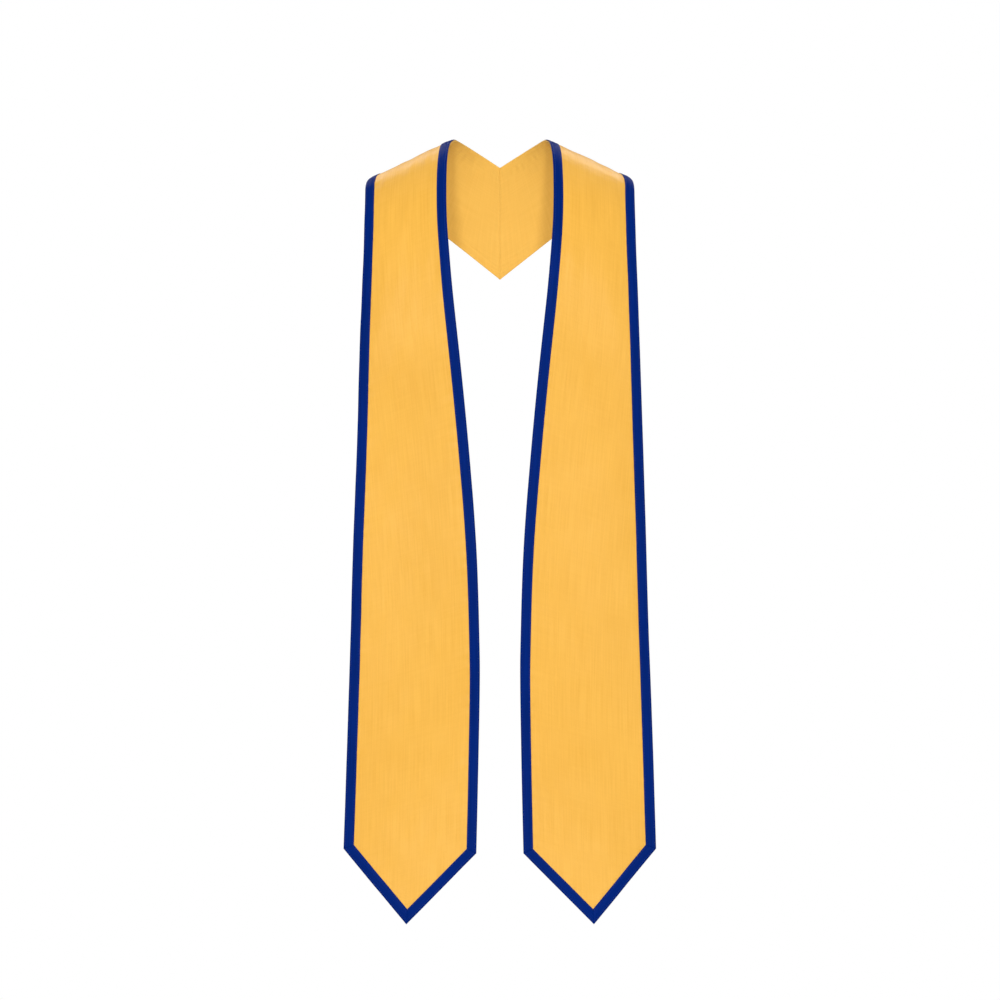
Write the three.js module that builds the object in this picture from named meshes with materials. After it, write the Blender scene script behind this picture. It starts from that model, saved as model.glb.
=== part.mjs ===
// A graduation stole, as it hangs when worn. Two tapered satin strips meet in a mitred seam behind the neck,
// lie over the shoulders and hang down the chest to pointed ends. Each half is a face panel, a plain lining
// behind it and a contrasting band on the face along every edge: one strip at the neck edge, one at the outer
// edge and one round the point, mitred at its two corners.
//
// Millimetres. X runs to the wearer's left, Y to the wearer's back and Z up. The origin is in the middle of
// the neck opening, level with the top of the shoulders.

import * as THREE from 'three';
import { mergeVertices } from 'three/addons/utils/BufferGeometryUtils.js';

// Sizes seen from the front
const NECK_HALF_WIDTH = 54.5; // middle to neck edge, where the neck opening is widest
const SHOULDER_HALF_WIDTH = 136.4; // middle to outer edge, at the shoulder
const HEM_HALF_WIDTH = 158.6; // middle to outer edge, at the hem's corner
const SHOULDER_FALL = 39; // the fold over the shoulder falls this far from the neck edge to the outer edge
const SHOULDER_ROUNDING = 6.1; // the outer edge turns in by this much to reach the fold
const ROUNDING_DROP = 12; // and starts to do so this far below it
const FRONT_DROP = 723.9; // top of the shoulder to the hem's corner on the neck edge
const OUTER_CORNER_RISE = 4.7; // the hem's corner on the outer edge is higher by this much
const POINT_DROP = 72; // hem's corner on the neck edge to the tip of the point
const POINT_ACROSS = 0.528; // where the tip is, as a share of the hem from its neck edge
const NAPE_DROP = 28.5; // top of the shoulder to the notch of the V behind the neck
const BACK_DROP = 141.3; // top of the shoulder to the tip of the V
const NAPE_LIFT = 3.1; // the neck edge stands up by this much against the neck, just behind the fold
const NAPE_LIFT_START = 0.05; // over this share of the way in from the fold to the seam
const FOLD_EASE = 0.04; // the cloth leaves the fold level, and slopes down after this share of the way in

// Depths from the fold over the shoulder
const NAPE_DEPTH = 60; // back to the notch of the V
const BACK_DEPTH = 88; // back to the tip of the V
const CHEST_DEPTH = 100; // forward to the neck edge, where it hangs free
const ARM_DEPTH = 80; // forward to the outer edge, where it hangs free
const CHEST_DROP = 250; // how far down the cloth is carried forward before it hangs free
const CHEST_FULLNESS = 3.2; // how soon it gets there: the higher, the squarer the shoulder

// The cloth's gentle shape across and down the front
const CROWN = 3; // the middle of a panel stands this far in front of its edges
const SWAY = 2.2; // and swings this far to and fro
const SWAY_LENGTH = 340; // over this length
const SWAY_LAG = 0.35; // while the outer edge lags the neck edge by this share of a swing

// Cloth
const PANEL_WALL = 1;
const LINING_WALL = 1;
const TRIM_WALL = 1;
const TRIM_WIDTH = 9.5;
const GAP = 0.3; // between neighbouring pieces

// How finely the curved cloth is divided
const BACK_ROWS = 9;
const FRONT_ROWS = 31;
const CELLS_BESIDE_POINT = 3;
const STEP = 1e-4; // for tangents

// The neck edge down the front: drop is a share of FRONT_DROP and gap a share of NECK_HALF_WIDTH.
const NECK_EDGE = [
  { drop: 0, gap: 0.903 },
  { drop: 0.015, gap: 0.974 },
  { drop: 0.045, gap: 0.998 },
  { drop: 0.1, gap: 0.998 },
  { drop: 0.155, gap: 0.951 },
  { drop: 0.228, gap: 0.861 },
  { drop: 0.438, gap: 0.577 },
  { drop: 0.579, gap: 0.438 },
  { drop: 0.72, gap: 0.381 },
  { drop: 0.775, gap: 0.381 },
  { drop: 0.86, gap: 0.402 },
  { drop: 1, gap: 0.443 },
];

const { lerp, clamp, smoothstep } = THREE.MathUtils;

// The smooth curve through the table's gaps, at a share of the drop. It is drawn over the root of the drop,
// which grows evenly while the cloth comes forward off the fold.
function neckGap(share) {
  const last = NECK_EDGE.length - 1;
  const gap = (i) => NECK_EDGE[i].gap;
  const root = (i) => Math.sqrt(NECK_EDGE[i].drop);
  const slope = (i) => {
    const [before, after] = [Math.max(i - 1, 0), Math.min(i + 1, last)];
    return (gap(after) - gap(before)) / (root(after) - root(before));
  };
  const i = clamp(NECK_EDGE.findIndex((row) => row.drop > share) - 1, 0, last - 1);
  const k = share >= NECK_EDGE[last].drop ? last - 1 : i;
  const length = root(k + 1) - root(k);
  const t = (Math.sqrt(share) - root(k)) / length;
  return (
    gap(k) * (1 + 2 * t) * (1 - t) ** 2 +
    gap(k + 1) * t ** 2 * (3 - 2 * t) +
    length * t * (1 - t) * (slope(k) * (1 - t) - slope(k + 1) * t)
  );
}

const neckEdge = (share) => NECK_HALF_WIDTH * neckGap(share);

// The outer edge is straight, apart from its rounded turn onto the shoulder.
function outerEdge(share) {
  const drop = share * (FRONT_DROP - SHOULDER_FALL - OUTER_CORNER_RISE);
  const turn = SHOULDER_ROUNDING * Math.max(0, 1 - Math.sqrt(drop / ROUNDING_DROP)) ** 2;
  return lerp(SHOULDER_HALF_WIDTH, HEM_HALF_WIDTH, share) - turn;
}

const foldHeight = (across) => -SHOULDER_FALL * across;

// The height of the pointed hem: two straight slants from its corners to the tip.
function hemHeight(across) {
  const corner = across < POINT_ACROSS ? 0 : 1;
  const share = (across - corner) / (POINT_ACROSS - corner);
  return lerp(-FRONT_DROP + OUTER_CORNER_RISE * corner, -FRONT_DROP - POINT_DROP, share);
}

const hemDrop = (across) => foldHeight(across) - hemHeight(across);

// How tall the point's trim stands over a place on the hem. Its width is square to the slant.
function pointTrimHeight(across) {
  const width = HEM_HALF_WIDTH - neckEdge(1);
  const over = (corner) => {
    const rise = hemHeight(corner) - hemHeight(POINT_ACROSS);
    return TRIM_WIDTH * Math.hypot(1, rise / (width * (corner - POINT_ACROSS)));
  };
  const side = Math.sign(across - POINT_ACROSS);
  return lerp(over(0), over(1), (side + 1) / 2);
}

// A place on the face down the front, at a drop from the fold over the shoulder.
function front(drop, across) {
  const share = drop / hemDrop(across);
  const carried = 1 - (1 - Math.min(drop / CHEST_DROP, 1)) ** CHEST_FULLNESS;
  const free = smoothstep(drop, 0, CHEST_DROP);
  const swing = Math.sin(2 * Math.PI * (drop / SWAY_LENGTH - SWAY_LAG * across));
  const forward = lerp(CHEST_DEPTH, ARM_DEPTH, across) * Math.sqrt(carried);
  return new THREE.Vector3(
    lerp(neckEdge(share), outerEdge(share), across) + GAP / 2,
    -forward - free * (4 * CROWN * across * (1 - across) + SWAY * swing),
    foldHeight(across) - drop,
  );
}

// A place on the face behind the fold. way runs from 0 at the fold to 1 at the seam behind the neck. Seen from
// above it is part of an ellipse that leaves the fold in the direction in which the front comes onto it.
function back(way, across) {
  const depth = lerp(NAPE_DEPTH, BACK_DEPTH, across);
  const foldWidth = lerp(neckEdge(0), outerEdge(0), across);
  const ahead = front(STEP, across).sub(front(0, across));
  const lean = ((ahead.x / -ahead.y) * depth) / foldWidth;
  const start = Math.asin(lean / (1 - lean));
  const angle = lerp(start, Math.PI / 2, way);
  const inward = 1 - Math.cos(angle) / Math.cos(start);
  const fallen = inward * (1 - Math.exp(-inward / FOLD_EASE));
  const raised = 1 - Math.exp(-((inward / NAPE_LIFT_START) ** 1.5));
  return new THREE.Vector3(
    foldWidth * (1 - inward) + GAP / 2,
    (depth * (Math.sin(angle) - Math.sin(start))) / (1 - Math.sin(start)),
    lerp(foldHeight(across), lerp(-NAPE_DROP, -BACK_DROP, across), fallen) +
      NAPE_LIFT * (1 - across) * (1 - inward) * raised,
  );
}

// A place on the face of the cloth. across runs from 0 at the neck edge to 1 at the outer edge. at runs from
// -1 at the seam behind the neck to 0 on the fold over the shoulder, and from there it is the drop down the front.
const cloth = (at, across) => (at < 0 ? back(-at, across) : front(at, across));

// A place on the cloth with the direction out of its face.
function spot(at, across) {
  const point = cloth(at, across);
  const down = cloth(at + STEP, across).sub(point);
  const over = cloth(at, across + STEP).sub(cloth(at, across - STEP));
  const normal = down.cross(over);
  if (at === -1) normal.x = 0; // the halves meet in the plane of the seam
  return { point, normal: normal.normalize() };
}

// Rows across the cloth, from the seam to the hem. Each gives at for a place across. They lie closer where
// the cloth turns over the shoulder, and the last but one follows the top of the point's trim.
const ROWS = [];
for (let i = 0; i < BACK_ROWS; i++) ROWS.push(() => i / BACK_ROWS - 1);
for (let i = 0; i <= FRONT_ROWS; i++) {
  const share = i / FRONT_ROWS;
  ROWS.push((across) => share ** 2 * (2 - share) * (hemDrop(across) - pointTrimHeight(across)));
}
const SIDE_ROWS = ROWS.slice();
ROWS.push(hemDrop);

// The trim's share of a row at one edge of the cloth, 0 or 1, with its width square to that edge.
function trimShare(row, edge) {
  const across = cloth(row(1), 1).sub(cloth(row(0), 0));
  const along = cloth(row(edge) + STEP, edge).sub(cloth(row(edge), edge)).normalize();
  return TRIM_WIDTH / across.cross(along).length();
}

// The places across a row: the trims' edges, the line of the point and an even division between them.
function columns(row) {
  const inner = trimShare(row, 0);
  const outer = 1 - trimShare(row, 1);
  const shares = Array.from({ length: CELLS_BESIDE_POINT }, (_, i) => i / CELLS_BESIDE_POINT);
  return [
    0,
    ...shares.map((share) => lerp(inner, POINT_ACROSS, share)),
    ...shares.map((share) => lerp(POINT_ACROSS, outer, share)),
    outer,
    1,
  ];
}

// A closed sheet over a grid of spots, between two heights over the face. Cells are cut along the diagonal
// that starts at the neck edge's far end up to column lean, and along the other one from there on.
function sheet(grid, low, high, lean) {
  const width = grid[0].length;
  const spots = grid.flat();
  const corners = [];
  for (let r = 0; r + 1 < grid.length; r++) {
    for (let c = 0; c + 1 < width; c++) {
      const [a, b, d, e] = [r * width + c, r * width + c + 1, (r + 1) * width + c, (r + 1) * width + c + 1];
      corners.push(...(c < lean ? [[a, d, b], [b, d, e]] : [[a, d, e], [a, e, b]]));
    }
  }
  // Two spots in one place are one, and a cell that they flatten has one triangle left.
  const same = spots.map((s) => spots.findIndex((other) => other.point.distanceTo(s.point) < STEP));
  const faces = corners.map((face) => face.map((i) => same[i]));
  const kept = faces.filter(([a, b, c]) => a !== b && b !== c && c !== a);
  const edges = new Set(kept.flatMap(([a, b, c]) => [`${a} ${b}`, `${b} ${c}`, `${c} ${a}`]));

  const positions = [];
  const add = (i, height) => positions.push(...spots[i].point.clone().addScaledVector(spots[i].normal, height));
  for (const [a, b, c] of kept) {
    for (const i of [a, b, c]) add(i, high);
    for (const i of [a, c, b]) add(i, low);
  }
  for (const edge of edges) {
    const [a, b] = edge.split(' ').map(Number);
    if (edges.has(`${b} ${a}`)) continue;
    for (const [i, height] of [[a, high], [a, low], [b, low], [a, high], [b, low], [b, high]]) add(i, height);
  }
  const geometry = new THREE.BufferGeometry();
  geometry.setAttribute('position', new THREE.Float32BufferAttribute(positions, 3));
  const merged = mergeVertices(geometry);
  merged.computeVertexNormals();
  return merged;
}

// The trim along one edge, from the seam behind the neck to its mitred end at the hem's corner.
function sideTrim(edge) {
  const back = (row) => (row === SIDE_ROWS.at(-1) ? GAP : 0);
  const pair = (row, places) => places.map((across) => spot(row(across) - back(row), across));
  const grid = SIDE_ROWS.map((row) => {
    const share = trimShare(row, edge);
    return pair(row, edge ? [1 - share, 1] : [0, share]);
  });
  const corner = spot(hemDrop(edge) - GAP, edge);
  const last = grid.at(-1);
  grid.push(edge ? [last[0], corner] : [corner, last[1]]);
  return grid;
}

// The trim round the point, from one mitred end to the other. Its rows run down from its top to the hem.
function pointTrim() {
  const top = SIDE_ROWS.at(-1);
  const places = columns(top);
  const inner = places.slice(1, -1);
  const upper = inner.map((across) => spot(top(across), across));
  const lower = inner.map((across) => spot(hemDrop(across), across));
  return [
    [upper[0], ...upper, upper.at(-1)],
    [spot(hemDrop(0), 0), ...lower, spot(hemDrop(1), 1)],
  ];
}

const gold = new THREE.MeshStandardMaterial({ color: 0xfbc058, roughness: 0.5, side: THREE.DoubleSide });
const goldLining = new THREE.MeshStandardMaterial({ color: 0xfbc058, roughness: 0.7, side: THREE.DoubleSide });
const navy = new THREE.MeshStandardMaterial({ color: 0x012777, roughness: 0.45, side: THREE.DoubleSide });

// One half of the stole, on the wearer's left. The right half is its mirror image.
function half(side) {
  const group = new THREE.Group();
  const cells = ROWS.map((row) => columns(row).map((across) => spot(row(across), across)));
  const tipColumn = CELLS_BESIDE_POINT + 1;
  const trimLow = GAP;
  const trimHigh = GAP + TRIM_WALL;
  const liningHigh = -PANEL_WALL - GAP;
  const add = (name, material, ...layer) => {
    const mesh = new THREE.Mesh(sheet(...layer), material);
    mesh.name = `${side}_${name}`;
    group.add(mesh);
  };
  add('panel', gold, cells, -PANEL_WALL, 0, tipColumn);
  add('lining', goldLining, cells, liningHigh - LINING_WALL, liningHigh, tipColumn);
  add('neck_trim', navy, sideTrim(0), trimLow, trimHigh, 1);
  add('outer_trim', navy, sideTrim(1), trimLow, trimHigh, 0);
  add('point_trim', navy, pointTrim(), trimLow, trimHigh, tipColumn);
  if (side === 'right') group.scale.x = -1;
  return group;
}

const stole = new THREE.Group();
stole.add(half('left'), half('right'));

export default stole;
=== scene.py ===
# The looks of a graduation stole: gold satin panels over a plain gold lining, with navy satin bands sewn
# along every edge of the face. Tables and functions are in millimetres, and meshes are built in metres.

import math

import bpy
import numpy as np
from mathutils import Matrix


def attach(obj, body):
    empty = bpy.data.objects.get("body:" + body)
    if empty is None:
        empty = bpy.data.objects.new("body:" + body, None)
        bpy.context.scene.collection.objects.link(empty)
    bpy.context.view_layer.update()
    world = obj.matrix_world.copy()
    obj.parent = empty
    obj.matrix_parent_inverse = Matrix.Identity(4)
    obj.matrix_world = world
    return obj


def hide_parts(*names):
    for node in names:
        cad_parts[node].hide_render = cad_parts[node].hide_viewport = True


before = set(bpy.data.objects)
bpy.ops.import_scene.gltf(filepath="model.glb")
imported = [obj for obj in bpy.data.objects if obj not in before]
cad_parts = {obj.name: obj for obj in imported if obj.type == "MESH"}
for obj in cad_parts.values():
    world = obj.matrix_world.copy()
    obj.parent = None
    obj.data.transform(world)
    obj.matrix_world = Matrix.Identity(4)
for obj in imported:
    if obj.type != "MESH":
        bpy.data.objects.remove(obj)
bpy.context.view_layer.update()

MM = 0.001
TURN = 2 * math.pi
STEP = 1e-4  # between the places that slopes and normals are read from

# Sizes of the part, as its source has them
NECK_HALF_WIDTH = 54.5
SHOULDER_HALF_WIDTH = 136.4
HEM_HALF_WIDTH = 158.6
SHOULDER_FALL = 39
SHOULDER_ROUNDING = 6.1
ROUNDING_DROP = 12
FRONT_DROP = 723.9
OUTER_CORNER_RISE = 4.7
POINT_DROP = 72
POINT_ACROSS = 0.528
NAPE_DROP = 28.5
BACK_DROP = 141.3
NAPE_LIFT = 3.1
NAPE_LIFT_START = 0.05
FOLD_EASE = 0.04
NAPE_DEPTH = 60
BACK_DEPTH = 88
CHEST_DEPTH = 100
ARM_DEPTH = 80
CHEST_DROP = 250
CHEST_FULLNESS = 3.2
CROWN = 3
SWAY = 2.2
SWAY_LENGTH = 340
SWAY_LAG = 0.35
TRIM_WIDTH = 9.5

# The neck edge down the front: drop is a share of FRONT_DROP and gap a share of NECK_HALF_WIDTH.
NECK_EDGE = np.array(
    [
        (0, 0.903),
        (0.015, 0.974),
        (0.045, 0.998),
        (0.1, 0.998),
        (0.155, 0.951),
        (0.228, 0.861),
        (0.438, 0.577),
        (0.579, 0.438),
        (0.72, 0.381),
        (0.775, 0.381),
        (0.86, 0.402),
        (1, 0.443),
    ]
)

# The cloth as cut: the size of one half, flat
MEAN_WIDTH = 115  # of the strip, which the unevenness across it is scaled by

# How it hangs: broad and small swells, which are drawn out along the strip, and flutes down the front
SWELL_START = (4, 60)  # lengths from the seam over which the swells and flutes grow
BROAD_SWELL = 0.9
BROAD_SIZE = 95
BROAD_STRETCH = (0.8, 0.45)  # across and along the strip
SMALL_SWELL = 0.22
SMALL_SIZE = 34
SMALL_STRETCH = (1.3, 0.6)
FLUTE = 0.9
FLUTE_START = (-40, 220)  # lengths from the fold over which the flutes grow
FLUTES_ACROSS = 1.25
FLUTE_WANDER = 0.16
FLUTE_WANDER_LENGTH = 150

# The cloth as sewn: a face and a lining meet in a turned edge, and the band lies on the face.
EDGE_INSET = 0.3  # the turned edge lies inside the outline by this much, and the band covers it
NAPE_EDGE_RISE = 0.75  # behind the neck it stands out from under the band by this much at the neck edge
BACK_EDGE_RISE = 0.35  # and by this much at the outer edge
EDGE_RISE_SPAN = (3, 30)  # lengths behind the fold over which it comes to stand out
EDGE_RADIUS = 1.15  # of the turned edge
CLOTH_WALL = 0.6
SEAM_CREASE = 0.55
SEAM_CREASE_WIDTH = 1.3
GATHER = 0.22  # the small gathers beside the seam
GATHER_START = (0.5, 3)
GATHER_REACH = 9
GATHER_PITCH = 5.2 * TURN
PUCKER = 0.24  # the unevenness beside the band's inner row of stitches
PUCKER_SIZE = 11
PUCKER_STRETCH = 0.35  # across the strip
PUCKER_START = 5
PUCKER_REACH = 6
FACE_GROOVE = 0.14  # where the rows of stitches draw the face in
LINING_GROOVE = 0.2
GROOVE_WIDTH = 0.7
GROOVES = (1.7, TRIM_WIDTH - 1.1)  # from the turned edge

BAND_WALL = 0.62
BAND_WIDTH = 9.9  # from the turned edge to the band's free edge
BAND_PUFF = 0.22  # how far the band rises between its rows of stitches
BAND_GROOVE = 0.2  # how far a row of stitches draws it down
BAND_GROOVE_WIDTH = 0.45
BAND_PUCKER = 0.05
BAND_PUCKER_SIZE = 7
BAND_PUCKER_STRETCH = 2  # across the band
BAND_CLEARANCE = 0.03  # under the band
BAND_TOP = 0.1  # what lies higher than this is the band's outer side
BAND_ROUNDING = 0.35  # where the outer side meets the rounding at either edge
WRAP_START = 22  # degrees round the turned edge
WRAP_UNDER = 40
CREASE_DEPTH = 0.42  # at a mitre or a fold of the band
CREASE_WIDTH = 0.9
POINT_CREASE_WIDTH = 0.011  # as a share of one side of the pointed end
FREE_EDGE = 3.5  # the crease fades out over this much beside the band's free edge

# The rounding of the band's free edge: how far inside its width, and the height over the face
BAND_FREE_EDGE = [
    (0.08, BAND_WALL - 0.16),
    (0, BAND_WALL - 0.38),
    (0.05, BAND_CLEARANCE),
]

STITCH_INSET = 1.5  # from the band's edges
STITCH_PITCH = 2.8
STITCH_LENGTH = 2.15
STITCH_RADIUS = 0.19
STITCH_SINK = 0.1  # of its line into the band
STITCH_SIDES = 6

# The sections of one stitch: a share of its length, a share of its radius and a rise.
STITCH_SECTIONS = [
    (0.0, 0.45, -0.28),
    (0.16, 0.95, -0.04),
    (0.5, 1.0, 0.06),
    (0.84, 0.95, -0.04),
    (1.0, 0.45, -0.28),
]

# Where the meshes have their lines, as distances from an edge, the hem or the seam
TURN_POINTS = 6  # round a quarter of a turned edge
BESIDE_EDGE = [1.5, 2.1, 3.2, 4.6, 6.2, 7.4, 8.3, 9.4]
BESIDE_HEM = [9, 6.5, 4.5, 3, 2.1, 1.5]
BESIDE_SEAM = [0, 0.35, 0.8, 1.4, 2.2, 3.3]
SHEET_SEAM_END = 5
SHEET_FOLD_END = 2.6
BAND_SEAM_END = 4
BAND_FOLD_END = 2.2
BAND_MITRE_END = 4
BAND_AT_SEAM = [0.06, 0.5, 1.0, 1.7, 2.6]
BAND_AT_MITRE = [2.6, 1.7, 1.0, 0.4, -0.3]  # the last lies just past the mitre, so that no face shows
BAND_AT_POINT = [0.0008, 0.006, 0.012, 0.02, 0.032]  # shares of one side of the pointed end
POINT_SPAN = (0.05, 0.95)  # of the even lines between them
BACK_ROWS = 56
FRONT_ROWS = 270
NECK_COLUMNS = 20
ARM_COLUMNS = 22
HEM_ROWS_START = 19
SIDE_BAND_ROWS = 300
BACK_BAND_ROWS = 60
POINT_BAND_ROWS = 34
BAND_COLUMNS = 13
CENTRE_COLUMN = 8  # of the band's section, where its cloth coordinate is measured


def lerp(a, b, t):
    return a + (b - a) * t


def smoothstep(x, low, high):
    t = np.clip((x - low) / (high - low), 0, 1)
    return t * t * (3 - 2 * t)


def bell(x, width):
    return np.exp(-((x / width) ** 2))


def run_along(points):
    """Distances along a row of points, from the first."""
    steps = np.linalg.norm(np.diff(points, axis=0), axis=1)
    return np.concatenate([[0], np.cumsum(steps)])


def neck_edge(share):
    """The smooth curve through the table, over the root of the drop."""
    drop, gap = NECK_EDGE.T
    root = np.sqrt(drop)
    padded_root, padded_gap = np.pad(root, 1, "edge"), np.pad(gap, 1, "edge")
    slope = (padded_gap[2:] - padded_gap[:-2]) / (padded_root[2:] - padded_root[:-2])
    k = np.clip(np.searchsorted(drop, share, side="right") - 1, 0, len(drop) - 2)
    length = root[k + 1] - root[k]
    t = (np.sqrt(share) - root[k]) / length
    curve = (
        gap[k] * (1 + 2 * t) * (1 - t) ** 2
        + gap[k + 1] * t**2 * (3 - 2 * t)
        + length * t * (1 - t) * (slope[k] * (1 - t) - slope[k + 1] * t)
    )
    return NECK_HALF_WIDTH * curve


def outer_edge(share):
    drop = share * (FRONT_DROP - SHOULDER_FALL - OUTER_CORNER_RISE)
    turn = SHOULDER_ROUNDING * np.maximum(0, 1 - np.sqrt(drop / ROUNDING_DROP)) ** 2
    return lerp(SHOULDER_HALF_WIDTH, HEM_HALF_WIDTH, share) - turn


def fold_height(across):
    return -SHOULDER_FALL * across


def side_drop(across, corner):
    """The drop down the straight line of one side of the pointed end, from corner 0 or 1 to the tip."""
    share = (across - corner) / (POINT_ACROSS - corner)
    corner_drop = FRONT_DROP - OUTER_CORNER_RISE * corner
    return fold_height(across) + lerp(corner_drop, FRONT_DROP + POINT_DROP, share)


def side_slant(corner):
    """Height on the cloth for each millimetre square to that side."""
    width = HEM_HALF_WIDTH - neck_edge(1.0)
    rise = POINT_DROP + OUTER_CORNER_RISE * corner
    return np.hypot(1, rise / (width * (corner - POINT_ACROSS)))


def nearer_corner(across):
    return np.where(across < POINT_ACROSS, 0, 1)


def hem_drop(across):
    return side_drop(across, nearer_corner(across))


def hem_slant(across):
    return side_slant(nearer_corner(across))


def front(drop, across):
    """A place on the face, at a drop from the fold over the shoulder."""
    share = drop / hem_drop(across)
    carried = 1 - (1 - np.minimum(drop / CHEST_DROP, 1)) ** CHEST_FULLNESS
    free = smoothstep(drop, 0, CHEST_DROP)
    swing = np.sin(TURN * (drop / SWAY_LENGTH - SWAY_LAG * across))
    forward = lerp(CHEST_DEPTH, ARM_DEPTH, across) * np.sqrt(carried)
    return np.stack(
        [
            lerp(neck_edge(share), outer_edge(share), across),
            -forward - free * (4 * CROWN * across * (1 - across) + SWAY * swing),
            fold_height(across) - drop,
        ],
        -1,
    )


def back(way, across):
    """A place on the face behind the fold: way is 0 at the fold and 1 at the seam behind the neck."""
    depth = lerp(NAPE_DEPTH, BACK_DEPTH, across)
    at_fold = np.zeros_like(across)
    fold_width = lerp(neck_edge(at_fold), outer_edge(at_fold), across)
    ahead = front(at_fold + STEP, across) - front(at_fold, across)
    lean = -ahead[..., 0] / ahead[..., 1] * depth / fold_width
    start = np.arcsin(lean / (1 - lean))
    angle = lerp(start, math.pi / 2, way)
    inward = 1 - np.cos(angle) / np.cos(start)
    fallen = inward * (1 - np.exp(-inward / FOLD_EASE))
    raised = 1 - np.exp(-((inward / NAPE_LIFT_START) ** 1.5))
    seam_height = lerp(-NAPE_DROP, -BACK_DROP, across)
    lift = NAPE_LIFT * (1 - across) * (1 - inward) * raised
    return np.stack(
        [
            fold_width * (1 - inward),
            depth * (np.sin(angle) - np.sin(start)) / (1 - np.sin(start)),
            lerp(fold_height(across), seam_height, fallen) + lift,
        ],
        -1,
    )


def cloth(at, across):
    """A place on the face: at is -1 at the seam behind the neck, 0 on the shoulder and then the drop."""
    at, across = np.broadcast_arrays(np.asarray(at, float), np.asarray(across, float))
    behind = (at < 0)[..., None]
    return np.where(behind, back(-np.minimum(at, 0), across), front(np.maximum(at, 0), across))


def facing(at, across):
    """The direction out of the face."""
    down = cloth(at + STEP, across) - cloth(at, across)
    over = cloth(at, across + STEP) - cloth(at, across - STEP)
    normal = np.cross(down, over)
    at_seam = np.broadcast_to(np.asarray(at) <= -1, normal.shape[:-1])
    normal[..., 0] = np.where(at_seam, 0, normal[..., 0])
    return normal / np.linalg.norm(normal, axis=-1, keepdims=True)


# Places down the middle of the strip, and how far along it each lies from the fold over the shoulder
CHEST_SAMPLES = 400
HANG_SAMPLES = 300
BACK_SAMPLES = 200
SAMPLE_END = 900
PLACES = np.concatenate(
    [
        np.linspace(0, 1, CHEST_SAMPLES) ** 2 * CHEST_DROP,
        np.linspace(CHEST_DROP + 1, SAMPLE_END, HANG_SAMPLES),
    ]
)
LENGTHS = run_along(cloth(PLACES, POINT_ACROSS))
BACK_PLACES = np.linspace(0, -1, BACK_SAMPLES)
BACK_LENGTHS = run_along(cloth(BACK_PLACES, POINT_ACROSS))
BACK_LENGTH = BACK_LENGTHS[-1]


def along(at):
    """The length along the strip of a place, below 0 behind the fold."""
    ahead = np.interp(np.maximum(at, 0), PLACES, LENGTHS)
    behind = np.interp(np.maximum(-np.asarray(at), 0), -BACK_PLACES, BACK_LENGTHS)
    return np.where(np.asarray(at) < 0, -behind, ahead)


def place_along(length):
    """The place at a length along the strip."""
    ahead = np.interp(np.maximum(length, 0), LENGTHS, PLACES)
    behind = -np.interp(np.maximum(-length, 0), BACK_LENGTHS, -BACK_PLACES)
    return np.where(length < 0, behind, ahead)


def waves(x, y, size, seed, count=7):
    """A soft uneven swell of height about 1, from a few plane waves of about one size."""
    rng = np.random.default_rng(seed)
    angle = rng.uniform(0, math.pi, count)
    scale = TURN / (size * rng.uniform(0.7, 1.5, count))
    phase = rng.uniform(0, TURN, count)
    total = sum(
        np.sin((x * math.cos(a) + y * math.sin(a)) * k + p) for a, k, p in zip(angle, scale, phase)
    )
    return total / math.sqrt(count)


def drape(at, across, seed):
    """The cloth's own soft unevenness, out of its face."""
    length = along(at)
    wide = across * MEAN_WIDTH
    grown = smoothstep(length + BACK_LENGTH, *SWELL_START)
    hang = smoothstep(length, *FLUTE_START)
    wander = FLUTE_WANDER * np.sin(length / FLUTE_WANDER_LENGTH + seed)
    flutes = np.sin(TURN * (FLUTES_ACROSS * across + wander) + seed)
    broad = waves(wide * BROAD_STRETCH[0], length * BROAD_STRETCH[1], BROAD_SIZE, seed)
    small = waves(wide * SMALL_STRETCH[0], length * SMALL_STRETCH[1], SMALL_SIZE, seed + 1)
    return grown * (BROAD_SWELL * broad + SMALL_SWELL * small + FLUTE * hang * flutes)


def edge_fall(distance):
    """How far the face falls back over the turned edge."""
    d = np.clip(distance, 0, EDGE_RADIUS)
    return np.sqrt(np.maximum(EDGE_RADIUS**2 - (EDGE_RADIUS - d) ** 2, 0)) - EDGE_RADIUS


def edge_inset(length, edge):
    """How far the turned edge lies inside the outline. edge is 0 at the neck and 1 at the outer edge."""
    rise = BACK_EDGE_RISE if edge else NAPE_EDGE_RISE
    return EDGE_INSET - rise * smoothstep(-length, *EDGE_RISE_SPAN)


def width_share(at0, at1, edge):
    """The share of a row that one millimetre square to an edge takes up."""
    one = cloth(at0, 0.0)
    other = cloth(at1, 1.0)
    at = at1 if edge else at0
    line = cloth(at + STEP, float(edge)) - cloth(at, float(edge))
    line /= np.linalg.norm(line, axis=-1, keepdims=True)
    return 1 / np.linalg.norm(np.cross(other - one, line), axis=-1)


def out_of(at, across, height, side, seed):
    """Points over the draped face at a height, on one side of the body. 1 is the wearer's left."""
    points = cloth(at, across) + facing(at, across) * (height + drape(at, across, seed))[..., None]
    points[..., 0] *= side
    return points * MM


def mesh_object(name, points, faces, uvs, side, material):
    """A smooth mesh with its cloth coordinates, in metres. The mirrored half's faces are turned round."""
    mesh = bpy.data.meshes.new(name)
    if side < 0:
        faces = [f[::-1] for f in faces]
    mesh.from_pydata(points.reshape(-1, 3).tolist(), [], faces)
    mesh.polygons.foreach_set("use_smooth", [True] * len(mesh.polygons))
    layer = mesh.uv_layers.new(name="cloth")
    corner = np.empty(len(mesh.loops), int)
    mesh.loops.foreach_get("vertex_index", corner)
    layer.data.foreach_set("uv", uvs.reshape(-1, 2)[corner].ravel())
    mesh.materials.append(material)
    mesh.update()
    piece = bpy.data.objects.new(name, mesh)
    bpy.context.scene.collection.objects.link(piece)
    return piece


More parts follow.
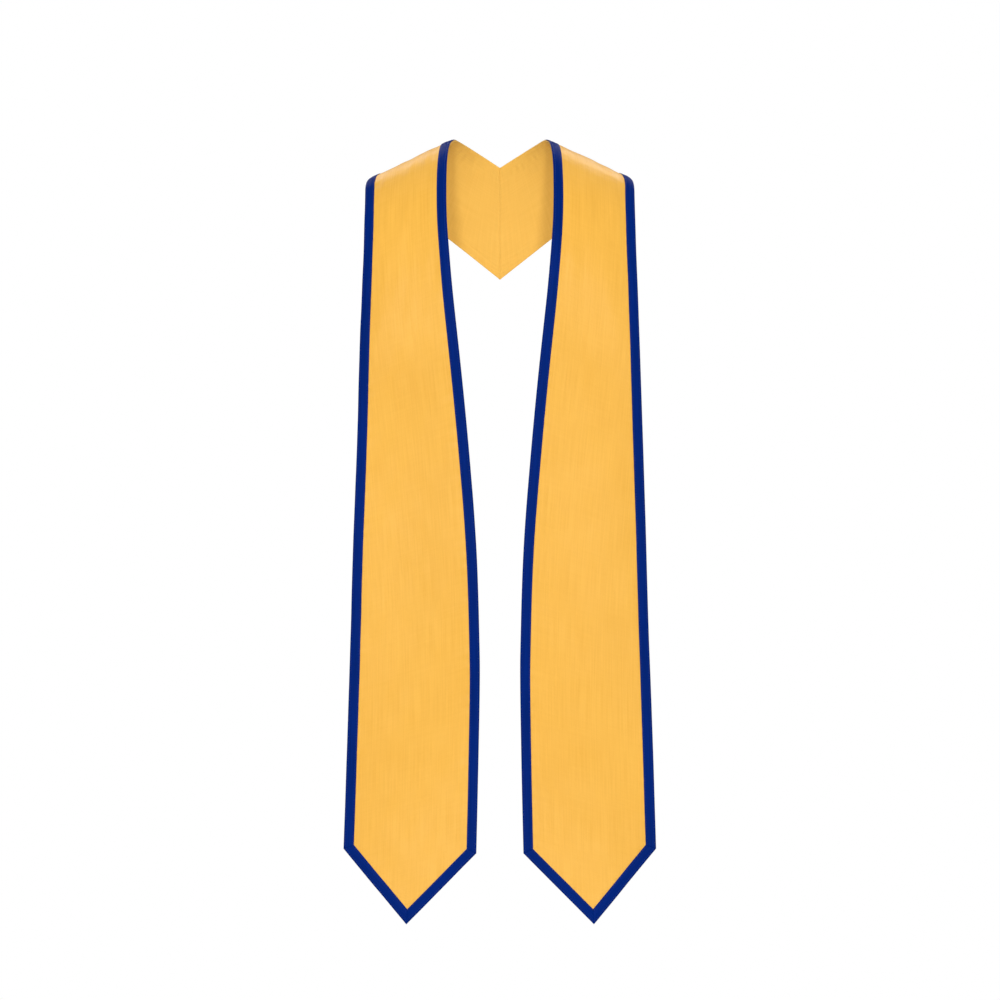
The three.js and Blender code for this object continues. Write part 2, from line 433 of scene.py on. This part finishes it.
def grid_faces(index):
    a, b, c, d = index[:-1, :-1], index[:-1, 1:], index[1:, 1:], index[1:, :-1]
    return np.stack([a, d, c, b], -1).reshape(-1, 4).tolist()


def sheet_rows(rolled):
    """The rows of a sheet from the seam to the hem, as a share of the drop and an inset from the hem."""
    deepest = hem_drop(np.float64(POINT_ACROSS))
    lengths = np.concatenate(
        [
            -BACK_LENGTH + np.array(BESIDE_SEAM),
            np.linspace(-BACK_LENGTH + SHEET_SEAM_END, -SHEET_FOLD_END, BACK_ROWS),
            np.linspace(0, along(deepest) - HEM_ROWS_START, FRONT_ROWS),
        ]
    )
    rows = []
    for length in lengths:
        at = float(place_along(length))
        rows.append((at, None) if at < 0 else (at / deepest, 0.0))
    for inset in BESIDE_HEM + rolled[::-1]:
        rows.append((1.0, EDGE_INSET + inset))
    return rows


def row_places(row, across):
    """Where a row of a sheet lies. A row behind the fold has no inset and keeps to its own place."""
    value, inset = row
    if inset is None:
        return np.full_like(across, max(value, -1.0))
    return value * hem_drop(across) - inset * hem_slant(across)


def sheet_grid():
    """A sheet's places, with each one's distance from the nearest edge and from the neck edge."""
    rolled = [EDGE_RADIUS * (1 - math.cos(a)) for a in np.linspace(0, math.pi / 2, TURN_POINTS)]
    beside = rolled + BESIDE_EDGE
    grid = []
    for row in sheet_rows(rolled):
        ends = row_places(row, np.array([0.0, 1.0]))
        neck_unit, arm_unit = (width_share(ends[0], ends[1], edge) for edge in (0, 1))
        neck_inset, arm_inset = (edge_inset(along(ends[edge]), edge) for edge in (0, 1))
        near = [neck_unit * (neck_inset + d) for d in beside]
        far = [1 - arm_unit * (arm_inset + d) for d in beside]
        inner = np.linspace(near[-1], POINT_ACROSS, NECK_COLUMNS)[1:]
        outer = np.linspace(POINT_ACROSS, far[-1], ARM_COLUMNS)[1:-1]
        across = np.concatenate([near, inner, outer, far[::-1]])
        at = row_places(row, across)
        from_neck = across / neck_unit - neck_inset
        from_arm = (1 - across) / arm_unit - arm_inset
        from_hem = (hem_drop(across) - at) / hem_slant(across) - EDGE_INSET
        from_edge = np.minimum(from_neck, from_arm)
        from_edge = np.where(at < 0, from_edge, np.minimum(from_edge, from_hem))
        grid.append((at, across, from_edge, from_neck))
    return (np.array(table) for table in zip(*grid))


def sewn_relief(length, across, from_edge, groove, seed):
    """Gathers at the seam, the drawn-in rows of stitches and the puckers beside them."""
    to_seam = length + BACK_LENGTH
    wide = across * MEAN_WIDTH
    reach = np.exp(-to_seam / GATHER_REACH) * smoothstep(to_seam, *GATHER_START)
    gathers = GATHER * reach * np.sin(wide * TURN / GATHER_PITCH)
    drawn_in = sum(bell(from_edge - row, GROOVE_WIDTH) for row in GROOVES)
    beside_band = np.exp(-np.maximum(from_edge - TRIM_WIDTH, 0) / PUCKER_REACH)
    beside_band = beside_band * smoothstep(from_edge, PUCKER_START, TRIM_WIDTH)
    swell = waves(length, wide * PUCKER_STRETCH, PUCKER_SIZE, seed + 2, 4)
    return gathers - groove * drawn_in + PUCKER * beside_band * swell


def closed_sheet(index):
    """The faces of a sheet whose two sides share every edge but the one at the seam, which is walled."""
    under = index + index.size
    under[:, 0], under[:, -1], under[-1, :] = index[:, 0], index[:, -1], index[-1, :]
    faces = grid_faces(index) + [f[::-1] for f in grid_faces(under)]
    for c in range(index.shape[1] - 1):
        wall = [index[0, c], index[0, c + 1], under[0, c + 1], under[0, c]]
        faces.append([i for k, i in enumerate(wall) if i not in wall[:k]])
    return faces


def sheet_object(name, side, seed, material, lining):
    """The face or the lining, closed, its edges turned to the middle between the two."""
    at, across, from_edge, from_neck = sheet_grid()
    length = along(at)
    outer_height, way = (-2 * EDGE_RADIUS, -1) if lining else (0, 1)
    groove = LINING_GROOVE if lining else FACE_GROOVE

    turned = edge_fall(from_edge) - SEAM_CREASE * bell(length + BACK_LENGTH, SEAM_CREASE_WIDTH)
    relief = turned + sewn_relief(length, across, from_edge, groove, seed)
    inner_relief = turned - CLOTH_WALL * np.clip(from_edge / EDGE_RADIUS, 0, 1)
    outside = out_of(at, across, outer_height + way * relief, side, seed)
    inside = out_of(at, across, outer_height + way * inner_relief, side, seed)

    faces = closed_sheet(np.arange(at.size).reshape(at.shape))
    if lining:
        faces = [f[::-1] for f in faces]
    points = np.concatenate([outside.reshape(-1, 3), inside.reshape(-1, 3)])
    uvs = np.stack([from_neck * MM, length * MM], -1).reshape(-1, 2)
    uvs = np.concatenate([uvs, uvs])

    used = np.unique(np.concatenate([np.array(f) for f in faces]))
    renumbered = np.full(len(points), -1)
    renumbered[used] = np.arange(len(used))
    faces = [[int(renumbered[i]) for i in f] for f in faces]
    return mesh_object(name, points[used], faces, uvs[used], side, material)


def end_shares():
    """The shares of the last row that the side bands take up at their inner corners."""
    ends = np.array([0.0, 1.0])
    at = hem_drop(ends) - TRIM_WIDTH * hem_slant(ends)
    return [width_share(at[0], at[1], edge) * TRIM_WIDTH for edge in (0, 1)]


def side_path(edge):
    """A band along one long edge, from the seam to the mitre, and the lengths of its stations."""
    share = end_shares()[edge]
    corner = 1 - share if edge else share
    inner_at = hem_drop(corner) - TRIM_WIDTH * hem_slant(corner)
    outer_at = hem_drop(np.float64(edge))
    lengths = np.concatenate(
        [
            -BACK_LENGTH + np.array(BAND_AT_SEAM),
            np.linspace(-BACK_LENGTH + BAND_SEAM_END, -BAND_FOLD_END, BACK_BAND_ROWS),
            np.linspace(0, along(inner_at) - BAND_MITRE_END, SIDE_BAND_ROWS),
            along(inner_at) - np.array(BAND_AT_MITRE),
        ]
    )
    station = place_along(lengths)

    def to_end(end):
        return np.where(station < 0, station, station / inner_at * end)

    def place(distance):
        inside = distance + EDGE_INSET
        at = to_end(lerp(outer_at, inner_at, inside / TRIM_WIDTH))
        row_ends = (np.maximum(to_end(hem_drop(end)), -1) for end in (0.0, 1.0))
        across = width_share(*row_ends, edge) * inside
        return at, 1 - across if edge else across

    return place, lengths


def point_path():
    """A band round the pointed end, from station 0 at one mitre over 1 at the tip to 2 at the other."""
    neck_share, arm_share = end_shares()
    start = np.array(BAND_AT_POINT)
    half = np.concatenate([start, np.linspace(*POINT_SPAN, POINT_BAND_ROWS), 1 - start[::-1]])
    station = np.concatenate([half, [1.0], 1 + half])
    corner = np.where(station <= 1, 0, 1)
    steepness = [side_drop(1, end) - side_drop(0, end) for end in (0, 1)]
    fold_lean = (side_slant(0) - side_slant(1)) / (steepness[0] - steepness[1])

    def place(distance):
        inside = distance + EDGE_INSET
        depth = inside / TRIM_WIDTH
        fold = POINT_ACROSS + inside * fold_lean
        down = lerp(neck_share * depth, fold, station)
        up = lerp(fold, 1 - arm_share * depth, station - 1)
        across = np.where(station <= 1, down, up)
        return side_drop(across, corner) - inside * side_slant(corner), across

    return place, station


def band_profile():
    """The band's section, as distances from the turned edge and heights over the face."""
    outer = EDGE_RADIUS + BAND_WALL
    wrap = np.radians(np.linspace(WRAP_START, 90, TURN_POINTS))
    section = [(EDGE_RADIUS - outer * math.cos(a), -EDGE_RADIUS + outer * math.sin(a)) for a in wrap]
    for d in np.linspace(EDGE_RADIUS + BAND_ROUNDING, BAND_WIDTH - BAND_ROUNDING, BAND_COLUMNS):
        to_row = min(abs(d - STITCH_INSET), abs(d - (BAND_WIDTH - STITCH_INSET)))
        between = np.clip((d - STITCH_INSET) / (BAND_WIDTH - 2 * STITCH_INSET), 0, 1)
        puff = BAND_PUFF * math.sin(math.pi * between)
        section.append((d, BAND_WALL + puff - BAND_GROOVE * bell(to_row, BAND_GROOVE_WIDTH)))
    section += [(BAND_WIDTH - inside, height) for inside, height in BAND_FREE_EDGE]
    under = math.radians(WRAP_UNDER)
    tuck = EDGE_RADIUS * (1 - math.sin(under))
    return section + [
        (BAND_WIDTH / 2, BAND_CLEARANCE + 0.01),
        (EDGE_RADIUS, BAND_CLEARANCE),
        (EDGE_RADIUS * (1 - math.cos(under)), BAND_CLEARANCE - tuck),
    ]


def band_object(name, side, seed, material, path, creases, crease_width):
    """A band swept along an edge. Its ends, and its fold at the tip, are mitred and pulled down."""
    place, run = path
    profile = band_profile()
    dip = sum(bell(run - crease, crease_width) for crease in creases)
    columns = []
    for distance, height in profile:
        at, across = place(distance)
        lift = np.full(at.shape, height)
        if height > BAND_TOP:
            crossed = np.full(at.shape, float(distance * BAND_PUCKER_STRETCH))
            lift += BAND_PUCKER * waves(along(at), crossed, BAND_PUCKER_SIZE, seed + 3, 4)
            lift -= CREASE_DEPTH * np.clip((BAND_WIDTH - distance) / FREE_EDGE, 0, 1) * dip
        columns.append(out_of(np.maximum(at, -1), across, lift, side, seed))
    points = np.stack(columns, 1)
    index = np.arange(points.shape[0] * points.shape[1]).reshape(points.shape[:2])
    faces = grid_faces(np.concatenate([index, index[:, :1]], 1))
    faces += [index[0].tolist(), index[-1][::-1].tolist()]
    distances = np.array([distance for distance, _ in profile])
    lengths = run_along(points[:, CENTRE_COLUMN])
    uvs = np.stack(np.broadcast_arrays(distances[None, :] * MM, lengths[:, None]), -1)
    return mesh_object(name, points, faces, uvs, side, material)


def stitch_rows(paths, side, seed):
    """The starts, ends and outward directions of the stitches, in two rows on each band."""
    found = []
    for place, _ in paths:
        for distance in (STITCH_INSET, BAND_WIDTH - STITCH_INSET):
            at, across = place(distance)
            at = np.maximum(at, -1)
            height = np.full(at.shape, BAND_WALL - STITCH_SINK)
            low = out_of(at, across, height, side, seed)
            high = out_of(at, across, height + 1, side, seed)
            up = high - low
            up /= np.linalg.norm(up, axis=1, keepdims=True)
            run = run_along(low)
            count = int(run[-1] / (STITCH_PITCH * MM))
            middle = (np.arange(count) + 0.5) * run[-1] / count
            half = STITCH_LENGTH * MM / 2

            def on_row(places, table):
                return np.stack([np.interp(places, run, column) for column in table.T], -1)

            found.append((on_row(middle - half, low), on_row(middle + half, low), on_row(middle, up)))
    return [np.concatenate(parts) for parts in zip(*found)]


def stitch_object(name, side, seed, material, paths):
    """Short rounded threads that dip into the band at both ends."""
    start, end, up = stitch_rows(paths, side, seed)
    direction = end - start
    direction /= np.linalg.norm(direction, axis=1, keepdims=True)
    across = np.cross(direction, up)
    verts = []
    for share, fat, rise in STITCH_SECTIONS:
        centre = lerp(start, end, share) + up * rise * MM
        for a in np.arange(STITCH_SIDES) * TURN / STITCH_SIDES:
            verts.append(centre + STITCH_RADIUS * MM * fat * (math.cos(a) * across + math.sin(a) * up))
    points = np.stack(verts, 1)

    index = np.arange(len(verts)).reshape(-1, STITCH_SIDES)
    ring = np.concatenate([index, index[:, :1]], 1)
    one_stitch = [f[::-1] for f in grid_faces(ring)]
    one_stitch += [index[0][::-1].tolist(), index[-1].tolist()]
    faces = []
    for base in range(0, len(points) * len(verts), len(verts)):
        faces += [[base + k for k in f] for f in one_stitch]

    share = np.repeat([section[0] for section in STITCH_SECTIONS], STITCH_SIDES)
    round_it = np.tile(np.arange(STITCH_SIDES) / STITCH_SIDES, len(STITCH_SECTIONS))
    uvs = np.stack([round_it * MM, share * STITCH_LENGTH * MM], -1)
    uvs = np.broadcast_to(uvs[None], (len(points),) + uvs.shape)
    return mesh_object(name, points, faces, uvs, side, material)


class Nodes:
    """A small helper that writes a material or world as calls."""

    def __init__(self, tree):
        self.tree = tree

    def add(self, kind, inputs=None, **settings):
        node = self.tree.nodes.new(kind)
        for key, value in settings.items():
            setattr(node, key, value)
        for key, value in (inputs or {}).items():
            if isinstance(value, bpy.types.NodeSocket):
                self.tree.links.new(value, node.inputs[key])
            else:
                node.inputs[key].default_value = value
        return node

    def math(self, operation, a, b=0.0):
        return self.add("ShaderNodeMath", {0: a, 1: b}, operation=operation).outputs[0]

    def plus(self, a, b):
        return self.math("ADD", a, b)

    def times(self, a, b):
        return self.math("MULTIPLY", a, b)

    def remap(self, value, low, high, to_low, to_high):
        inputs = {"Value": value, "From Min": low, "From Max": high, "To Min": to_low, "To Max": to_high}
        return self.add("ShaderNodeMapRange", inputs).outputs["Result"]

    def noise(self, vector, scale, detail=2.0, rough=0.5):
        inputs = {"Vector": vector, "Scale": scale, "Detail": detail, "Roughness": rough}
        return self.add("ShaderNodeTexNoise", inputs).outputs["Fac"]

    def stretched(self, vector, scale):
        return self.add("ShaderNodeMapping", {"Vector": vector, "Scale": scale}).outputs["Vector"]

    def blend(self, factor, a, b):
        """Between two colours. A Mix node's colour sockets come after those for numbers and vectors."""
        node = self.add("ShaderNodeMix", data_type="RGBA")
        self.tree.links.new(factor, node.inputs["Factor"])
        for socket, value in ((node.inputs[6], a), (node.inputs[7], b)):
            socket.default_value = (*value, 1)
        return node.outputs[2]

    def bump(self, height, distance, strength, normal=None):
        inputs = {"Height": height, "Distance": distance, "Strength": strength}
        if normal is not None:
            inputs["Normal"] = normal
        return self.add("ShaderNodeBump", inputs).outputs["Normal"]


def new_material(name):
    """A material, its shader and a helper for its nodes."""
    material = bpy.data.materials.new(name)
    material.use_nodes = True
    return material, material.node_tree.nodes["Principled BSDF"], Nodes(material.node_tree)


def cloth_coordinates(n):
    """The distance from the neck edge and the length along the strip, in metres."""
    uv = n.add("ShaderNodeUVMap", uv_map="cloth").outputs["UV"]
    split = n.add("ShaderNodeSeparateXYZ", {"Vector": uv}).outputs
    return uv, split["X"], split["Y"]


# The threads, in metres or to the metre: how often they change in tone across and along the strip
WARP_STREAKS = (780, 16, 1)
WEFT_STREAKS = (24, 620, 1)
SLUB_RELIEF = 0.00012
SLUB_STRENGTH = 0.5
SLUB_SHARE = 0.7  # of the tone, and a slow change makes the rest
TONE_SCALE = 11
TONE_SPAN = (0.36, 0.64)  # from the dark colour to the light one
CRUMPLE_SCALE = (52, 30, 1)
CRUMPLE_DETAIL = 0.45
CRUMPLE_STRENGTH = 0.6
ROUGH_SPAN = (0.3, 0.7)  # of the tone, from the roughest to the smoothest
ROUGHER = 0.05
SMOOTHER = 0.04
SHEEN_ROUGHNESS = 0.4

# thread and float are the pitches of the weave in metres, and lag sets each float off from the next.
SATIN = {
    "warp": 0.75,
    "thread": 0.00024,
    "float": 0.0012,
    "lag": 0.4,
    "relief": 0.25,
    "crumple": 0.0011,
    "rough": 0.42,
    "specular": 0.12,
    "anisotropic": 0.45,
    "sheen": 0.02,
    "tint": (1, 0.86, 0.6),
}
PLAIN = SATIN | {
    "warp": 0.5,
    "thread": 0.0003,
    "float": 0.0003,
    "lag": 0.5,
    "relief": 0.35,
    "rough": 0.6,
    "specular": 0.16,
    "anisotropic": 0.0,
    "sheen": 0.06,
}
BAND = SATIN | {
    "crumple": 0.0004,
    "rough": 0.5,
    "specular": 0.015,
    "sheen": 0.0,
    "tint": (0.5, 0.62, 1),
}


def cloth_material(name, dark, light, look):
    """Woven cloth: threads and floats in fine relief, slubs both ways and a slow change of tone."""
    material, shader, n = new_material(name)
    uv, wide, length = cloth_coordinates(n)
    place = n.add("ShaderNodeTexCoord").outputs["Object"]

    warp = n.noise(n.stretched(uv, WARP_STREAKS), 1, 3)
    weft = n.noise(n.stretched(uv, WEFT_STREAKS), 1, 3)
    tone = n.noise(place, TONE_SCALE, 3)
    slub = n.plus(n.times(warp, look["warp"]), n.times(weft, 1 - look["warp"]))
    mixed = n.plus(n.times(slub, SLUB_SHARE), n.times(tone, 1 - SLUB_SHARE))
    colour = n.blend(n.remap(mixed, *TONE_SPAN, 0, 1), dark, light)

    pitch = look["thread"]
    threads = n.math("SINE", n.times(wide, TURN / pitch))
    lag = n.times(wide, TURN * look["lag"] / pitch)
    floats = n.math("SINE", n.plus(n.times(length, TURN / look["float"]), lag))
    crumple = n.noise(n.stretched(uv, CRUMPLE_SCALE), 1, 3, CRUMPLE_DETAIL)
    normal = n.bump(crumple, look["crumple"], CRUMPLE_STRENGTH)
    normal = n.bump(slub, SLUB_RELIEF, SLUB_STRENGTH, normal)
    normal = n.bump(n.plus(threads, floats), pitch / 5, look["relief"], normal)

    links = material.node_tree.links
    links.new(colour, shader.inputs["Base Color"])
    links.new(normal, shader.inputs["Normal"])
    rough = n.remap(mixed, *ROUGH_SPAN, look["rough"] + ROUGHER, look["rough"] - SMOOTHER)
    links.new(rough, shader.inputs["Roughness"])
    tangent = n.add("ShaderNodeTangent", direction_type="UV_MAP", uv_map="cloth").outputs["Tangent"]
    links.new(tangent, shader.inputs["Tangent"])
    shader.inputs["Specular IOR Level"].default_value = look["specular"]
    shader.inputs["Anisotropic"].default_value = look["anisotropic"]
    shader.inputs["Sheen Weight"].default_value = look["sheen"]
    shader.inputs["Sheen Roughness"].default_value = SHEEN_ROUGHNESS
    shader.inputs["Sheen Tint"].default_value = (*look["tint"], 1)
    return material


THREAD_PLIES = 2
PLY_LENGTH = 0.0007
PLY_RELIEF = 0.00005
PLY_STRENGTH = 0.7
THREAD_ROUGHNESS = 0.45
THREAD_SPECULAR = 0.2
THREAD_SHEEN = 0.03


def thread_material(name, dark, light):
    """Sewing thread with a twist, its colour darker in the grooves between the plies: painted shade."""
    material, shader, n = new_material(name)
    _, round_it, length = cloth_coordinates(n)
    turn = n.times(round_it, TURN * THREAD_PLIES / MM)
    ply = n.math("SINE", n.plus(turn, n.times(length, TURN / PLY_LENGTH)))
    links = material.node_tree.links
    # The colour follows the twist's relief: darker where the plies dip, a painted shade in the grooves.
    links.new(n.blend(n.remap(ply, -1, 1, 0, 1), dark, light), shader.inputs["Base Color"])
    links.new(n.bump(ply, PLY_RELIEF, PLY_STRENGTH), shader.inputs["Normal"])
    shader.inputs["Roughness"].default_value = THREAD_ROUGHNESS
    shader.inputs["Specular IOR Level"].default_value = THREAD_SPECULAR
    shader.inputs["Sheen Weight"].default_value = THREAD_SHEEN
    return material


gold_satin = cloth_material("gold_satin", (0.64, 0.33, 0.044), (0.70, 0.375, 0.058), SATIN)
# The lining's gold is lighter and paler than the face's: painted light that makes up for the shade and
# the gold-on-gold bounce where the lining shows in the neck opening.
gold_lining = cloth_material("gold_lining", (0.686, 0.397, 0.071), (0.74, 0.44, 0.087), PLAIN)
navy_satin = cloth_material("navy_satin", (0.0002, 0.0108, 0.105), (0.0004, 0.0148, 0.15), BAND)
navy_thread = thread_material("navy_thread", (0.0005, 0.011, 0.13), (0.002, 0.024, 0.22))


def build_bands(word, side, seed):
    """The three bands of one half and the stitches that hold them."""
    bands = []
    paths = []
    for part, path, creases, width in (
        ("neck", side_path(0), None, CREASE_WIDTH),
        ("outer", side_path(1), None, CREASE_WIDTH),
        ("point", point_path(), (0, 1, 2), POINT_CREASE_WIDTH),
    ):
        creases = creases or path[1][[0, -1]]
        band = band_object(f"{word}_{part}_band", side, seed, navy_satin, path, creases, width)
        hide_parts(f"{word}_{part}_trim")
        bands.append(band)
        paths.append(path)
    return bands + [stitch_object(f"{word}_stitching", side, seed, navy_thread, paths)]


def build_half(word, side, seed):
    """One half of the stole, its pieces named for the wearer's side."""
    panel = sheet_object(f"{word}_panel_cloth", side, seed, gold_satin, lining=False)
    lining = sheet_object(f"{word}_lining_cloth", side, seed, gold_lining, lining=True)
    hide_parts(f"{word}_panel")
    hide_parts(f"{word}_lining")
    sewn_on = build_bands(word, side, seed)

    finishes = [(panel, "gold_satin"), (lining, "gold_lining")]
    finishes += [(piece, "navy_trim") for piece in sewn_on]
    for piece, slot in finishes:
        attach(piece, "root")


build_half("left", 1, seed=3)
build_half("right", -1, seed=8)

# The room and the camera, in metres
FLOOR_HEIGHT = -0.9
FLOOR_RADIUS = 40
FLOOR_SIDES = 96
FLOOR_GREYS = (0.71, 0.74)
FLOOR_MOTTLE = 3
FLOOR_ROUGHNESS = 0.8
HORIZON = (0.01, 0.12)  # the sine of the height at which the room starts and ends to darken
SKY = (1.0, 0.18)  # its strength below and above that
CAMERA_HEIGHT = -0.3654
CAMERA_DISTANCE = 3
VIEW_WIDTH = 1.015

# The bearing, height, spread and strength of each light. Bearing 0 is in front, 90 at the wearer's left.
LIGHTS = {
    "key_left": (5, 16, 5, 1.4),
    "key_right": (-5, 16, 5, 1.4),
    "overhead": (0, 84, 30, 1.25),
    "back_left": (152, 34, 22, 0.95),
    "back_right": (208, 34, 22, 0.95),
}


def make_floor():
    """A wide pale floor under the stole."""
    ground = bpy.data.meshes.new("floor")
    ring = []
    for a in np.arange(FLOOR_SIDES) * TURN / FLOOR_SIDES:
        ring.append((FLOOR_RADIUS * math.cos(a), FLOOR_RADIUS * math.sin(a), FLOOR_HEIGHT))
    ground.from_pydata(ring, [], [list(range(FLOOR_SIDES))])
    floor = bpy.data.objects.new("floor", ground)
    bpy.context.scene.collection.objects.link(floor)
    paint, shader, n = new_material("floor_paint")
    mottle = n.noise(n.add("ShaderNodeTexCoord").outputs["Object"], FLOOR_MOTTLE, 3)
    dark, light = FLOOR_GREYS
    colour = n.blend(mottle, (dark, dark, dark), (light, light, light))
    paint.node_tree.links.new(colour, shader.inputs["Base Color"])
    shader.inputs["Roughness"].default_value = FLOOR_ROUGHNESS
    ground.materials.append(paint)


def make_world():
    """White all round at the height of the eye, and darker overhead."""
    world = bpy.data.worlds.new("room")
    bpy.context.scene.world = world
    world.use_nodes = True
    n = Nodes(world.node_tree)
    direction = n.add("ShaderNodeTexCoord").outputs["Generated"]
    up = n.add("ShaderNodeSeparateXYZ", {"Vector": direction}).outputs["Z"]
    background = world.node_tree.nodes["Background"]
    world.node_tree.links.new(n.remap(up, *HORIZON, *SKY), background.inputs["Strength"])
    background.inputs["Color"].default_value = (1, 1, 1, 1)


def soft_light(name, azimuth, elevation, spread, strength):
    """A broad even light from far away."""
    data = bpy.data.lights.new(name, "SUN")
    data.angle = math.radians(spread)
    data.energy = strength
    light = bpy.data.objects.new(name, data)
    bpy.context.scene.collection.objects.link(light)
    light.rotation_euler = (math.radians(90 - elevation), 0, math.radians(azimuth))


def make_camera():
    """The drawing's view: level, from straight in front and without perspective."""
    data = bpy.data.cameras.new("camera")
    data.type = "ORTHO"
    data.ortho_scale = VIEW_WIDTH
    camera = bpy.data.objects.new("camera", data)
    camera.location = (0, -CAMERA_DISTANCE, CAMERA_HEIGHT)
    camera.rotation_euler = (math.radians(90), 0, 0)
    bpy.context.scene.collection.objects.link(camera)
    bpy.context.scene.camera = camera
    bpy.context.scene.view_settings.view_transform = "Standard"


make_floor()
make_world()
for light_name, aim in LIGHTS.items():
    soft_light(light_name, *aim)
make_camera()
